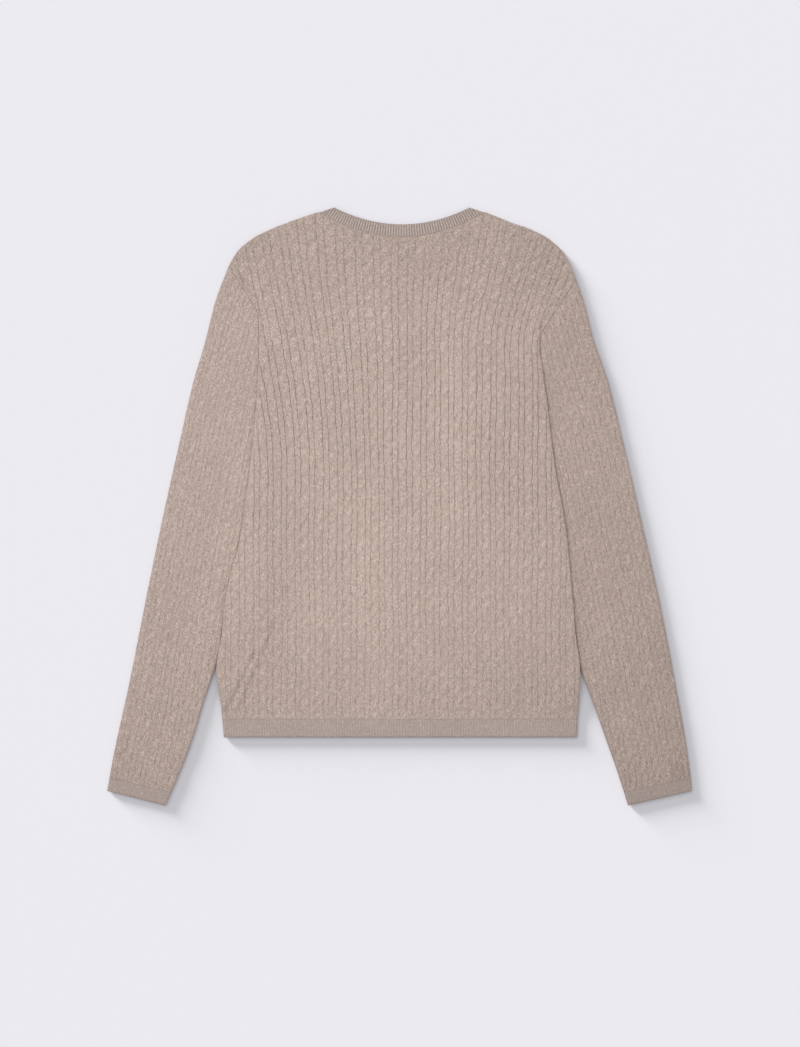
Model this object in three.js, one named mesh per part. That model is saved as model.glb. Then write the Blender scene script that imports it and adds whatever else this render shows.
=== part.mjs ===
// A cable knit sweater with long sleeves, laid out flat with its back up and its sleeves tucked
// under its sides. Millimetres, +Z up: the underside rests on z = 0, the neck points to +Y, and the
// wearer's left sleeve lies to -X. Every piece that is sewn on is one closed solid: the two body
// panels, the two sleeves, and the ribbed neckband, hem and cuffs, which are flattened rings.
import * as THREE from 'three';

// The knit
const WALL = 2;
const PLY_GAP = 0.4;            // between two plies that lie on each other
const SEAM = 0.3;               // between two pieces that are linked
const EDGE = 1.6;               // how far in from an edge the cloth has its full height
const BACK_REPEATS = 25;        // cables across the back, each with a narrow plain wale beside it
const SLEEVE_REPEATS = 7;
const CABLE_SHARE = 0.615;      // of a repeat
const CABLE_SWAY = 0.22;        // of a cable's width: how far its crest swings to each side
const CROSSING = 19.7;          // from one crossing of a cable to the next
const CREST_START = 0.15;       // of a crossing: where the first crest of a cable stands
const CREST_BACK = 0.6;         // of a crossing: from a crest's left swing to its right swing
const CABLE_RISE = 1.2;
const CABLE_END = 0.5;          // of the rise: height of a cable at its ends
const CREST_HIGH = 1;           // of the rise: where the crest swings right, then left
const CREST_LOW = 0.8;
const WALE_RISE = 0.5;
const RIB_PITCH = 3.6;
const RIB_RISE = 0.6;

// Heights of two plies that lie flat on each other
const UPPER = WALL + PLY_GAP;
const TOP = UPPER + WALL;
const FOLD = TOP / 2;
const EDGE_WALL = 0.8;          // how thick a panel is at its very edge
const EDGE_TOP = UPPER + EDGE_WALL;
const EDGE_UNDER = WALL - EDGE_WALL;

// The lengths that the outline tables below are drawn to
const HEM_Y = -293;
const HEM_RIB = 23.5;
const HEM_SEAM_Y = HEM_Y + HEM_RIB;
const BODY_HALF = 220;
const CUFF_RIB = 17;
const OUTER_END_Y = -361;
const INNER_END_Y = -379.5;

// Shoulder and outer side of the sleeve, from the neck point to the cuff
const OUTLINE = [
  { y: 379.5, left: -83, right: 89 },
  { y: 371.5, left: -110, right: 114 },
  { y: 361, left: -140, right: 140 },
  { y: 351, left: -165, right: 168 },
  { y: 336, left: -192, right: 194 },
  { y: 321, left: -207.5, right: 208.5 },
  { y: 305, left: -216.5, right: 217 },
  { y: 288, left: -223.5, right: 224 },
  { y: 262, left: -233, right: 233 },
  { y: 211, left: -246, right: 246.5 },
  { y: 160, left: -261, right: 264 },
  { y: 84, left: -278.5, right: 283 },
  { y: -17, left: -301, right: 306.5 },
  { y: -119, left: -322, right: 329.5 },
  { y: -220, left: -342, right: 349 },
  { y: -322, left: -364, right: 366.5 },
  { y: -361, left: -371, right: 371 },
];

// Side of the body, from the hem to the notch where the armhole seam goes under it
const BODY_SIDE = [
  { y: -293, left: -223, right: 225 },
  { y: -246, left: -227, right: 227 },
  { y: -205, left: -232, right: 229 },
  { y: -162, left: -225.5, right: 223.5 },
  { y: -119, left: -221, right: 220 },
  { y: -81, left: -213, right: 216.5 },
  { y: -49, left: -204, right: 213.5 },
  { y: 4, left: -196, right: 206 },
  { y: 40, left: -191, right: 199 },
  { y: 84, left: -186, right: 193 },
  { y: 135, left: -181.5, right: 187 },
  { y: 171, left: -179.5, right: 182 },
  { y: 205, left: -178.5, right: 178.5 },
];

// Inner side of the sleeve, from the armpit, hidden under the body, to the cuff
const SLEEVE_INNER = [
  { y: 135, left: -121, right: 110 },
  { y: 8, left: -163, right: 154.5 },
  { y: -119, left: -205, right: 199 },
  { y: -205, left: -234, right: 229 },
  { y: -246, left: -248, right: 244.5 },
  { y: -297, left: -263.5, right: 262.5 },
  { y: -347, left: -283, right: 280 },
  { y: -379.5, left: -297, right: 290 },
];

// The armhole seam runs straight from the shoulder point to the notch
const SHOULDER = { left: { x: -216.5, y: 305 }, right: { x: 224, y: 288 } };
const NOTCH = { left: { x: -180, y: 247 }, right: { x: 179.5, y: 220 } };
const ARMPIT_Y = 135;

// The sides of the body climb onto the sleeves that lie under them
const CLEARANCE = 0.6;
const LIFT = TOP + CABLE_RISE + CLEARANCE;
const LIFT_RAMP = 32;
const LIFT_MARGIN = 8;          // the lift is whole this far inside the sleeve's inner edge
const LIFT_FULL_Y = 171;
const SLEEVE_UNDER_Y = 160;     // where the sleeve's end goes under the body
const HEM_RAMP = 40;
const FLAT_MIDDLE = 0.24;       // of the half width: the middle stays on the ground

// Neckline: the free edge of the band, and the seam under it
const NECK = { left: -83, right: 89, y: 379.5, backLow: 358, frontLow: 318 };
const NECK_BAND = 16;

const clamp = (v) => Math.min(1, Math.max(0, v));
const mix = (a, b, w) => a + (b - a) * w;

// The rows of a table run up or down evenly; a value between two rows lies on the straight line
function lookUp(table, key, column, value) {
  for (let i = 1; i < table.length; i += 1) {
    const a = table[i - 1];
    const b = table[i];
    const w = (value - a[key]) / (b[key] - a[key]);
    if (w <= 1 || i === table.length - 1) {
      return mix(a[column], b[column], w);
    }
  }
  return undefined;
}

const sideOf = (x) => (x < 0 ? 'left' : 'right');
const outerX = (side, y) => lookUp(OUTLINE, 'y', side, y);
const innerX = (side, y) => lookUp(SLEEVE_INNER, 'y', side, y);
const shoulderY = (x) => lookUp(OUTLINE, sideOf(x), 'y', x);

function bodyX(side, y) {
  const notch = NOTCH[side];
  const point = SHOULDER[side];
  if (y >= point.y) {
    return point.x;
  }
  if (y >= notch.y) {
    return mix(notch.x, point.x, (y - notch.y) / (point.y - notch.y));
  }
  const rows = [...BODY_SIDE, { y: notch.y, [side]: notch.x }];
  return lookUp(rows, 'y', side, y);
}

// Place across the body: s runs from -1 at its left edge to 1 at its right edge, and the wales in
// the middle stay straight while those near an edge follow it
function acrossX(s, y) {
  const edge = Math.abs(bodyX(sideOf(s), y));
  return s * BODY_HALF - s ** 3 * (BODY_HALF - edge);
}

function lift(x, y) {
  const side = sideOf(x);
  const notch = NOTCH[side];
  const full = Math.abs(innerX(side, Math.min(y, ARMPIT_Y))) - LIFT_MARGIN;
  const across = clamp((Math.abs(x) - full + LIFT_RAMP) / LIFT_RAMP);
  const below = clamp((notch.y - y) / (notch.y - LIFT_FULL_Y));
  const above = clamp((y - HEM_SEAM_Y) / HEM_RAMP);
  return LIFT * across * below * above;
}

// Wale lines: gutters bound each cable and each plain wale
function waleLines(repeats, from, to) {
  const step = (to - from) / repeats;
  const lines = [];
  for (let k = 0; k < repeats; k += 1) {
    const start = from + k * step;
    lines.push({ place: start, kind: 'gutter' });
    lines.push({ place: start + (step * CABLE_SHARE) / 2, kind: 'cable', width: step * CABLE_SHARE });
    lines.push({ place: start + step * CABLE_SHARE, kind: 'gutter' });
    lines.push({ place: start + (step * (1 + CABLE_SHARE)) / 2, kind: 'wale' });
  }
  lines.push({ place: to, kind: 'gutter' });
  return lines;
}

const EDGE_S = 1 - EDGE / BODY_HALF;
const BACK_WALES = waleLines(BACK_REPEATS, -EDGE_S, EDGE_S);

// The neck seam ends on the gutters nearest to the neck points
const NECK_GUTTER = { left: 26, right: 74 };
const NECK_SEAM = {
  left: acrossX(BACK_WALES[NECK_GUTTER.left].place, NECK.y),
  right: acrossX(BACK_WALES[NECK_GUTTER.right].place, NECK.y),
};

function neckCurve(left, right, low, x) {
  const middle = (left + right) / 2;
  const rise = shoulderY(right) - low;
  return low + rise * ((x - middle) / (right - middle)) ** 2;
}

const neckFree = (x, low) => neckCurve(NECK.left, NECK.right, low, x);
const neckSeam = (x, low) => neckCurve(NECK_SEAM.left, NECK_SEAM.right, low - NECK_BAND, x);

function panelTop(x, low) {
  const inNeck = x > NECK_SEAM.left - SEAM && x < NECK_SEAM.right + SEAM;
  return inNeck ? Math.min(neckSeam(x, low) - SEAM, shoulderY(x)) : shoulderY(x);
}

// A shell is made of lines of points; neighbouring lines are joined by a band of triangles,
// which steps along whichever line's next point comes first
class Shell {
  constructor() {
    this.position = [];
    this.index = [];
  }

  line({ place, points }) {
    const ids = points.map((p) => {
      this.position.push(...p.xyz);
      return { id: this.position.length / 3 - 1, at: p.at };
    });
    return { place, ids };
  }

  band(a, b) {
    let i = 0;
    let j = 0;
    while (i < a.length - 1 || j < b.length - 1) {
      const stepA = j === b.length - 1 || (i < a.length - 1 && a[i + 1].at <= b[j + 1].at);
      if (stepA) {
        this.index.push(a[i].id, b[j].id, a[i + 1].id);
        i += 1;
      } else {
        this.index.push(a[i].id, b[j].id, b[j + 1].id);
        j += 1;
      }
    }
  }

  // The faces all turn the same way round; a negative volume says that they point in
  mesh(name, colour) {
    const p = this.position;
    const corner = (n) => new THREE.Vector3().fromArray(p, 3 * n);
    let volume = 0;
    for (let i = 0; i < this.index.length; i += 3) {
      const [a, b, c] = this.index.slice(i, i + 3).map(corner);
      volume += a.dot(b.cross(c));
    }
    if (volume < 0) {
      for (let i = 0; i < this.index.length; i += 3) {
        [this.index[i], this.index[i + 1]] = [this.index[i + 1], this.index[i]];
      }
    }
    const geometry = new THREE.BufferGeometry();
    geometry.setAttribute('position', new THREE.Float32BufferAttribute(p, 3));
    geometry.setIndex(this.index);
    geometry.computeVertexNormals();
    const material = new THREE.MeshStandardMaterial({ color: colour, roughness: 0.95, metalness: 0 });
    const mesh = new THREE.Mesh(geometry, material);
    mesh.name = name;
    return mesh;
  }
}

const firsts = (lines) => lines.map((l) => ({ id: l.ids[0].id, at: l.place }));
const lasts = (lines) => lines.map((l) => ({ id: l.ids[l.ids.length - 1].id, at: l.place }));
const closed = (ids, length) => [...ids, { id: ids[0].id, at: ids[0].at + length }];

// A panel: outer and inner lines run from the hem to the top, both from left to right
function panel(name, colour, outer, inner) {
  const shell = new Shell();
  const out = outer.map((l) => shell.line(l));
  const into = inner.map((l) => shell.line(l));
  const round = [...out, ...into.slice().reverse(), out[0]];
  for (let k = 1; k < round.length; k += 1) {
    shell.band(round[k - 1].ids, round[k].ids);
  }
  shell.band(firsts(out), firsts(into));
  shell.band(lasts(into), lasts(out));
  return shell.mesh(name, colour);
}

// A flattened tube: the lines go round it, place 0 to 2, and run from its top end to its cuff
function tube(name, colour, outer, inner) {
  const shell = new Shell();
  const out = outer.map((l) => shell.line(l));
  const into = inner.map((l) => shell.line(l));
  for (let k = 0; k < out.length; k += 1) {
    shell.band(out[k].ids, out[(k + 1) % out.length].ids);
  }
  for (let k = 0; k < into.length; k += 1) {
    shell.band(into[(k + 1) % into.length].ids, into[k].ids);
  }
  shell.band(closed(firsts(out), 2), closed(firsts(into), 2));
  shell.band(closed(lasts(into), 2), closed(lasts(out), 2));
  return shell.mesh(name, colour);
}

// Rows of a body line: the heights at which the side of the body has its points
function bodyRows(s, low) {
  const side = sideOf(s);
  const top = panelTop(acrossX(s, NECK.y), low);
  const ends = [HEM_SEAM_Y + SEAM, HEM_SEAM_Y + EDGE, top - EDGE, top];
  if (Math.abs(s) < FLAT_MIDDLE) {
    return [ends[0], ends[1], mix(ends[1], ends[2], 0.5), ends[2], ends[3]];
  }
  const notch = NOTCH[side].y;
  const sides = BODY_SIDE.map((row) => row.y).filter((y) => y > ends[1]);
  const upper = Math.abs(s) > EDGE_S ? [] : [mix(notch, top, 0.5)];
  return [ends[0], ends[1], ...sides, notch, ...upper, ends[2], ends[3]];
}

function crestRows(s, low) {
  const rows = bodyRows(s, low);
  const top = rows[rows.length - 1];
  const crest = [];
  for (let y = HEM_SEAM_Y + CROSSING * CREST_START; y < top - 2 * EDGE; y += CROSSING) {
    crest.push({ y, sway: -1 });
    crest.push({ y: y + CROSSING * CREST_BACK, sway: 1 });
  }
  const inside = crest.filter((c) => c.y > HEM_SEAM_Y + 2 * EDGE && c.y < top - 2 * EDGE);
  const end = (y) => ({ y, sway: 0 });
  return [end(rows[0]), end(rows[1]), ...inside, end(rows[rows.length - 2]), end(top)];
}

function bodyLine(s, ys, heightAt, swayOf = () => 0) {
  const points = ys.map((y, i) => {
    const x = acrossX(s + swayOf(i), y);
    return { at: y, xyz: [x, y, lift(x, y) + heightAt(i, ys.length)] };
  });
  return { place: s, points };
}

const atEnd = (i, count) => i === 0 || i === count - 1;

// The plain side of a panel has a line at the start of each repeat and at the neck seam's ends
const PLAIN_S = BACK_WALES
  .filter((line, k) => k % 4 === 0 || Object.values(NECK_GUTTER).includes(k))
  .map((line) => line.place);
const PLAIN_ALL = [-1, ...PLAIN_S.slice(1, -1), 1];

// The back: every cable and wale stands out of its upper side
function backPanel(colour) {
  const low = NECK.backLow;
  const side = (s) => bodyLine(s, bodyRows(s, low), () => EDGE_TOP);
  const outer = [side(-1)];
  for (const wale of BACK_WALES) {
    if (wale.kind === 'cable') {
      const rows = crestRows(wale.place, low);
      const shares = { 0: CABLE_END, 1: CREST_HIGH, '-1': CREST_LOW };
      const rise = (i) => CABLE_RISE * shares[rows[i].sway];
      outer.push(bodyLine(
        wale.place,
        rows.map((r) => r.y),
        (i, n) => (atEnd(i, n) ? EDGE_TOP : TOP + rise(i)),
        (i) => rows[i].sway * CABLE_SWAY * wale.width,
      ));
    } else {
      const rise = wale.kind === 'wale' ? WALE_RISE : 0;
      outer.push(bodyLine(
        wale.place,
        bodyRows(wale.place, low),
        (i, n) => (atEnd(i, n) ? EDGE_TOP : TOP + rise),
      ));
    }
  }
  outer.push(side(1));
  const inner = PLAIN_ALL.map((s) => bodyLine(s, bodyRows(s, low), () => UPPER));
  return panel('back', colour, outer, inner);
}

// The front lies face down, so its outer side is plain where it rests
function frontPanel(colour) {
  const low = NECK.frontLow;
  const under = (s) => bodyLine(s, bodyRows(s, low), (i, n) => (atEnd(i, n) ? EDGE_UNDER : 0));
  const side = (s) => bodyLine(s, bodyRows(s, low), () => EDGE_UNDER);
  const outer = [side(-1), ...PLAIN_S.map(under), side(1)];
  const inner = PLAIN_ALL.map((s) => bodyLine(s, bodyRows(s, low), () => WALL));
  return panel('front', colour, outer, inner);
}

// The sleeve's top end: down the armhole seam, along the side of the body, then under it
function sleeveEnd(side) {
  const out = Math.sign(SHOULDER[side].x) * SEAM;
  const follow = BODY_SIDE.map((row) => row.y).filter((y) => y > SLEEVE_UNDER_Y).reverse();
  const corners = [
    new THREE.Vector2(outerX(side, SHOULDER[side].y - SEAM), SHOULDER[side].y - SEAM),
    new THREE.Vector2(NOTCH[side].x + out, NOTCH[side].y - SEAM),
    ...follow.map((y) => new THREE.Vector2(bodyX(side, y) + out, y)),
    new THREE.Vector2(bodyX(side, SLEEVE_UNDER_Y) + out, SLEEVE_UNDER_Y),
    new THREE.Vector2(innerX(side, ARMPIT_Y), ARMPIT_Y),
  ];
  const axis = new THREE.Vector2(
    mix(outerX(side, OUTER_END_Y), innerX(side, INNER_END_Y), 0.5) - mix(corners[0].x, corners.at(-1).x, 0.5),
    mix(OUTER_END_Y, INNER_END_Y, 0.5) - mix(corners[0].y, corners.at(-1).y, 0.5),
  ).normalize();
  const reach = (p) => p.x * axis.y - p.y * axis.x;
  const first = reach(corners[0]);
  const last = reach(corners.at(-1));
  return corners.map((p) => ({ q: (reach(p) - first) / (last - first), x: p.x, y: p.y }));
}

// Place on the sleeve: q runs across it from its outer to its inner side, t along it to the cuff
function sleevePatch(side) {
  const end = sleeveEnd(side);
  const start = end[0];
  const armpit = end.at(-1);
  const outerCuff = { x: outerX(side, OUTER_END_Y + CUFF_RIB + SEAM), y: OUTER_END_Y + CUFF_RIB + SEAM };
  const innerCuff = { x: innerX(side, INNER_END_Y + CUFF_RIB + SEAM), y: INNER_END_Y + CUFF_RIB + SEAM };
  return (q, t) => {
    const yOuter = mix(start.y, outerCuff.y, t);
    const yInner = mix(armpit.y, innerCuff.y, t);
    const outer = { x: outerX(side, yOuter), y: yOuter };
    const inner = { x: innerX(side, yInner), y: yInner };
    const blend = (key) => mix(outer[key], inner[key], q)
      + mix(lookUp(end, 'q', key, q), mix(outerCuff[key], innerCuff[key], q), t)
      - mix(mix(start[key], armpit[key], q), mix(outerCuff[key], innerCuff[key], q), t);
    return [blend('x'), blend('y')];
  };
}

const SLEEVE_LENGTH = 640;
const SLEEVE_ROWS = [0, 0.06, 0.14, 0.24, 0.34, 0.44, 0.54, 0.64, 0.74, 0.83, 0.92, 1];
const SLEEVE_INSET = 0.014;     // of the width: where the rounded side meets the top and underside

function sleeve(side, colour) {
  const patch = sleevePatch(side);
  const place = (q, t, z) => {
    const [x, y] = patch(q, t);
    return { at: t, xyz: [x, y, z] };
  };
  const plain = (q, z, around) => ({ place: around, points: SLEEVE_ROWS.map((t) => place(q, t, z)) });
  const outer = [plain(0, FOLD, 0)];
  for (const wale of waleLines(SLEEVE_REPEATS, SLEEVE_INSET, 1 - SLEEVE_INSET)) {
    if (wale.kind === 'cable') {
      const points = [place(wale.place, 0, TOP)];
      const step = CROSSING / SLEEVE_LENGTH;
      const sway = CABLE_SWAY * wale.width;
      for (let t = step / 2; t < 1 - step; t += step) {
        points.push(place(wale.place + sway, t, TOP + CREST_HIGH * CABLE_RISE));
        points.push(place(wale.place - sway, t + step * CREST_BACK, TOP + CREST_LOW * CABLE_RISE));
      }
      points.push(place(wale.place, 1, TOP));
      outer.push({ place: wale.place, points });
    } else {
      outer.push(plain(wale.place, wale.kind === 'wale' ? TOP + WALE_RISE : TOP, wale.place));
    }
  }
  const corners = sleeveEnd(side).map((c) => c.q).slice(1, -1);
  outer.push(plain(1, FOLD, 1));
  outer.push(plain(1 - SLEEVE_INSET, 0, 1 + SLEEVE_INSET));
  for (const q of corners.slice().reverse()) {
    outer.push(plain(q, 0, 2 - q));
  }
  outer.push(plain(SLEEVE_INSET, 0, 2 - SLEEVE_INSET));
  const wall = 2 * SLEEVE_INSET;
  const within = [wall, ...corners, 1 - wall];
  const inner = [
    ...within.map((q) => plain(q, UPPER, q)),
    ...within.slice().reverse().map((q) => plain(q, WALL, 2 - q)),
  ];
  return tube(`sleeve_${side}`, colour, outer, inner);
}

// A flattened ribbed ring: ribs on its upper ply, a plain ply under it, a fold at each end.
// seam and free give the plan of its two edges at w, 0 to 1 from one fold to the other
function ribbedRing(name, colour, { upper, under, width, underAt }) {
  const inset = WALL / width;
  const ribs = Math.round((width - 2 * WALL) / RIB_PITCH);
  const corners = { outerSeam: [], outerFree: [], innerFree: [], innerSeam: [] };
  const station = (edges, wOuter, wInner, zOuter, zInner) => {
    corners.outerSeam.push([...edges.seam(wOuter), zOuter]);
    corners.outerFree.push([...edges.free(wOuter), zOuter]);
    corners.innerFree.push([...edges.free(wInner), zInner]);
    corners.innerSeam.push([...edges.seam(wInner), zInner]);
  };
  station(upper, 0, inset, FOLD, FOLD);
  for (let i = 0; i <= 2 * ribs; i += 1) {
    const w = mix(inset, 1 - inset, i / (2 * ribs));
    station(upper, w, w, TOP + (i % 2) * RIB_RISE, UPPER);
  }
  station(upper, 1, 1 - inset, FOLD, FOLD);
  for (const w of [1 - inset, ...underAt, inset]) {
    station(under, w, w, 0, WALL);
  }
  const shell = new Shell();
  const loops = Object.values(corners).map((points) => {
    const line = shell.line({ place: 0, points: points.map((xyz, at) => ({ at, xyz })) });
    return closed(line.ids, points.length);
  });
  loops.forEach((loop, k) => shell.band(loop, loops[(k + 1) % loops.length]));
  return shell.mesh(name, colour);
}

function neckband(colour) {
  const edges = (low) => ({
    seam: (w) => {
      const x = mix(NECK_SEAM.left, NECK_SEAM.right, w);
      return [x, neckSeam(x, low)];
    },
    free: (w) => {
      const x = mix(NECK.left, NECK.right, w);
      return [x, neckFree(x, low)];
    },
  });
  const width = NECK_SEAM.right - NECK_SEAM.left;
  const underAt = PLAIN_S.map((s) => (acrossX(s, NECK.y) - NECK_SEAM.left) / width)
    .filter((w) => w > 2 * (WALL / width) && w < 1 - 2 * (WALL / width))
    .reverse();
  const rings = { upper: edges(NECK.backLow), under: edges(NECK.frontLow), width, underAt };
  return ribbedRing('neckband', colour, rings);
}

function hemRib(colour) {
  const at = (y) => (w) => [mix(bodyX('left', y), bodyX('right', y), w), y];
  const edges = { seam: at(HEM_SEAM_Y), free: at(HEM_Y) };
  return ribbedRing('hem_rib', colour, { upper: edges, under: edges, width: 2 * BODY_HALF, underAt: [0.5] });
}

function cuff(side, colour) {
  const at = (rise) => (w) => {
    const yOuter = OUTER_END_Y + rise;
    const yInner = INNER_END_Y + rise;
    return [mix(outerX(side, yOuter), innerX(side, yInner), w), mix(yOuter, yInner, w)];
  };
  const edges = { seam: at(CUFF_RIB), free: at(0) };
  const width = Math.abs(outerX(side, OUTER_END_Y) - innerX(side, INNER_END_Y));
  return ribbedRing(`cuff_${side}`, colour, { upper: edges, under: edges, width, underAt: [0.5] });
}

const KNIT = 0xbaa89e;
const RIBBED = 0xae9e96;

const sweater = new THREE.Group();
sweater.add(
  frontPanel(KNIT),
  backPanel(KNIT),
  sleeve('left', KNIT),
  sleeve('right', KNIT),
  neckband(RIBBED),
  hemRib(RIBBED),
  cuff('left', RIBBED),
  cuff('right', RIBBED),
);

export default sweater;
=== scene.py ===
import math

import bmesh
import bpy
import numpy as np
from mathutils import Matrix, Vector


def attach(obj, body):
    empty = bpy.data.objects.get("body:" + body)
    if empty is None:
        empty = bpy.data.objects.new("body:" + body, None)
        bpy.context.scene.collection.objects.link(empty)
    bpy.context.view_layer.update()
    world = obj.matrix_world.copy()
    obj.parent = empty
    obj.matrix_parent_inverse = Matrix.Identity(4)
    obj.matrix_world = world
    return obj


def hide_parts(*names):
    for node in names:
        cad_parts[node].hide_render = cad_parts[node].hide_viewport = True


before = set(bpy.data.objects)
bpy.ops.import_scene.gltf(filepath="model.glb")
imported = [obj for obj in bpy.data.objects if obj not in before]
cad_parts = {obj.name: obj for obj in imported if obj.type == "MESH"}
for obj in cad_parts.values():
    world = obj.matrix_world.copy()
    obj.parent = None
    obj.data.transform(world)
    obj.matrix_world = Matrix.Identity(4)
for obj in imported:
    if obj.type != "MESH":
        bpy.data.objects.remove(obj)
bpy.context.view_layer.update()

# The studio: a pale lavender table top seen from straight above, with an even fill from all round. In
# the photo the long soft shadow to the lower right lies on the table alone and the knit is lit flat, so
# the low window lights only the table, and a soft lamp overhead lights only the sweater.
MM = 0.001
PHOTO_WIDTH = 800
PHOTO_HEIGHT = 1047
MM_PER_PIXEL = 1.27
GARMENT_MIDDLE = (399.5, 506.5)
CAMERA_HEIGHT = 3.2
TABLE_HALF_WIDTH = 6
TABLE_COLOUR = (0.838, 0.829, 0.876)
WINDOW = {"from": (-1.0, 1.0, 1.1), "angle": 30, "strength": 0.45}
LOW_WINDOW = {"from": (-1.05, 1.0, 0.15), "angle": 16, "strength": 10.3}
OVERHEAD = {"place": (-0.11, 0.03, 0.9), "size": 0.6, "power": 3.1}
FILL_STRENGTH = 0.56


class Wire:
    """A socket that takes part in sums: an expression on wires adds its Math nodes."""

    def __init__(self, tree, socket):
        self.tree = tree
        self.socket = socket

    def node(self, kind, settings=None, values=None, output=0):
        made = self.tree.nodes.new(kind)
        for name, value in (settings or {}).items():
            if name == "stops":
                ramp = made.color_ramp
                for place, colour in value[1:-1]:
                    ramp.elements.new(place)
                for stop, (place, colour) in zip(ramp.elements, value):
                    stop.position = place
                    stop.color = colour
            else:
                setattr(made, name, value)
        for name, value in (values or {}).items():
            if isinstance(value, Wire):
                self.tree.links.new(value.socket, made.inputs[name])
            else:
                made.inputs[name].default_value = value
        return Wire(self.tree, made.outputs[output])

    def maths(self, operation, a, b=0.0):
        return self.node("ShaderNodeMath", {"operation": operation}, {0: a, 1: b})

    def __add__(self, other):
        return self.maths("ADD", self, other)

    def __sub__(self, other):
        return self.maths("SUBTRACT", self, other)

    def __rsub__(self, other):
        return self.maths("SUBTRACT", other, self)

    def __mul__(self, other):
        return self.maths("MULTIPLY", self, other)

    __radd__ = __add__
    __rmul__ = __mul__


def new_material(name, roughness):
    made = bpy.data.materials.new(name)
    made.use_nodes = True
    shader = made.node_tree.nodes["Principled BSDF"]
    shader.inputs["Roughness"].default_value = roughness
    coordinates = made.node_tree.nodes.new("ShaderNodeTexCoord")
    return made, shader, Wire(made.node_tree, coordinates.outputs["Object"])


camera = bpy.data.objects.new("camera", bpy.data.cameras.new("camera"))
bpy.context.collection.objects.link(camera)
middle_x = (PHOTO_WIDTH / 2 - GARMENT_MIDDLE[0]) * MM_PER_PIXEL * MM
middle_y = (GARMENT_MIDDLE[1] - PHOTO_HEIGHT / 2) * MM_PER_PIXEL * MM
camera.location = (middle_x, middle_y, CAMERA_HEIGHT)
camera.data.sensor_fit = "VERTICAL"
camera.data.angle = 2 * math.atan(PHOTO_HEIGHT * MM_PER_PIXEL * MM / 2 / CAMERA_HEIGHT)
bpy.context.scene.camera = camera

bm = bmesh.new()
bmesh.ops.create_grid(bm, x_segments=1, y_segments=1, size=TABLE_HALF_WIDTH)
table_mesh = bpy.data.meshes.new("table_top")
bm.to_mesh(table_mesh)
bm.free()
table_top = bpy.data.objects.new("table_top", table_mesh)
bpy.context.collection.objects.link(table_top)
paper, shader, _ = new_material("table_paper", 0.9)
shader.inputs["Base Color"].default_value = (*TABLE_COLOUR, 1)
table_mesh.materials.append(paper)

for name, window in (("window", WINDOW), ("low_window", LOW_WINDOW)):
    sun = bpy.data.objects.new(name, bpy.data.lights.new(name, "SUN"))
    bpy.context.collection.objects.link(sun)
    sun.data.angle = math.radians(window["angle"])
    sun.data.energy = window["strength"]
    sun.rotation_euler = Vector(window["from"]).to_track_quat("Z", "Y").to_euler()
table_only = bpy.data.collections.new("table_only")
table_only.objects.link(table_top)
sun.light_linking.receiver_collection = table_only
overhead = bpy.data.objects.new("overhead", bpy.data.lights.new("overhead", "AREA"))
bpy.context.collection.objects.link(overhead)
overhead.location = OVERHEAD["place"]
overhead.data.size = OVERHEAD["size"]
overhead.data.energy = OVERHEAD["power"]
sweater_only = bpy.data.collections.new("sweater_only")
overhead.light_linking.receiver_collection = sweater_only
world = bpy.data.worlds.new("soft_room")
bpy.context.scene.world = world
world.use_nodes = True
world.node_tree.nodes["Background"].inputs["Color"].default_value = (1, 1, 1, 1)
world.node_tree.nodes["Background"].inputs["Strength"].default_value = FILL_STRENGTH
bpy.context.scene.view_settings.view_transform = "Standard"

# The back panel: the largest piece, a fine cable knit of soft melange yarn. Cables of six stitches
# cross at one height all over it, with a narrow plain wale between them and a furrow each side.
# It is knitted flat and linked at the shoulders, sides, armholes, neck and hem.
# All sizes of the knit are in mm.
WALL = 2.0
PLY_GAP = 0.4
UPPER = WALL + PLY_GAP
TOP = UPPER + WALL
FOLD = TOP / 2
SEAM = 0.06
HEM_Y = -293.0
HEM_SEAM_Y = HEM_Y + 23.5
REPEAT = 17.65
REPEAT_START = -1.5
CABLE_SHARE = 0.615
CROSSING = 19.7
CABLE_RISE = 0.2
WALE_RISE = 0.06
FURROW = 0.07
EDGE_ROUND = 2.4
SIDE_ROUND = 8.0
EDGE_DROP = 1.65
SEAM_ROUND = 0.8
SEAM_DROP = 0.06
RELIEF_FADE = 4.0
# How open to the light the knit is at an edge where its relief fades, painted in as shade
EDGE_OPENNESS = 0.85
GUTTER_FADE = 5.0
HALF_COLUMNS = 240.0

# Shoulder and outer side of the sleeve, side of the body, inner side of the sleeve. The columns are
# the height up the sweater, the left edge and the right edge, in mm
OUTLINE = np.array([
    (-361, -371, 371), (-322, -364, 366.5), (-220, -342, 349), (-119, -322, 329.5), (-17, -301, 306.5),
    (84, -278.5, 283), (160, -261, 264), (211, -246, 246.5), (262, -233, 233), (288, -223.5, 224),
    (305, -216.5, 217), (321, -207.5, 208.5), (336, -192, 194), (351, -165, 168), (361, -140, 140),
    (371.5, -110, 114), (379.5, -83, 89),
])
BODY_SIDE = np.array([
    (-293, -223, 225), (-246, -227, 227), (-205, -232, 229), (-162, -225.5, 223.5), (-119, -221, 220),
    (-81, -213, 216.5), (-49, -204, 213.5), (4, -196, 206), (40, -191, 199), (84, -186, 193),
    (135, -181.5, 187), (171, -179.5, 182), (205, -178.5, 178.5),
])
SLEEVE_INNER = np.array([
    (-379.5, -297, 290), (-347, -283, 280), (-297, -263.5, 262.5), (-246, -248, 244.5),
    (-205, -234, 229), (-119, -205, 199), (8, -163, 154.5), (135, -121, 110),
])
SIDES = {"left": 1, "right": 2}
SHOULDER = {"left": (-216.5, 305.0), "right": (224.0, 288.0)}
NOTCH = {"left": (-180.0, 247.0), "right": (179.5, 220.0)}
ARMPIT_Y = 135.0
LIFT = TOP + PLY_GAP
LIFT_RAMP = 110.0
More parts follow.
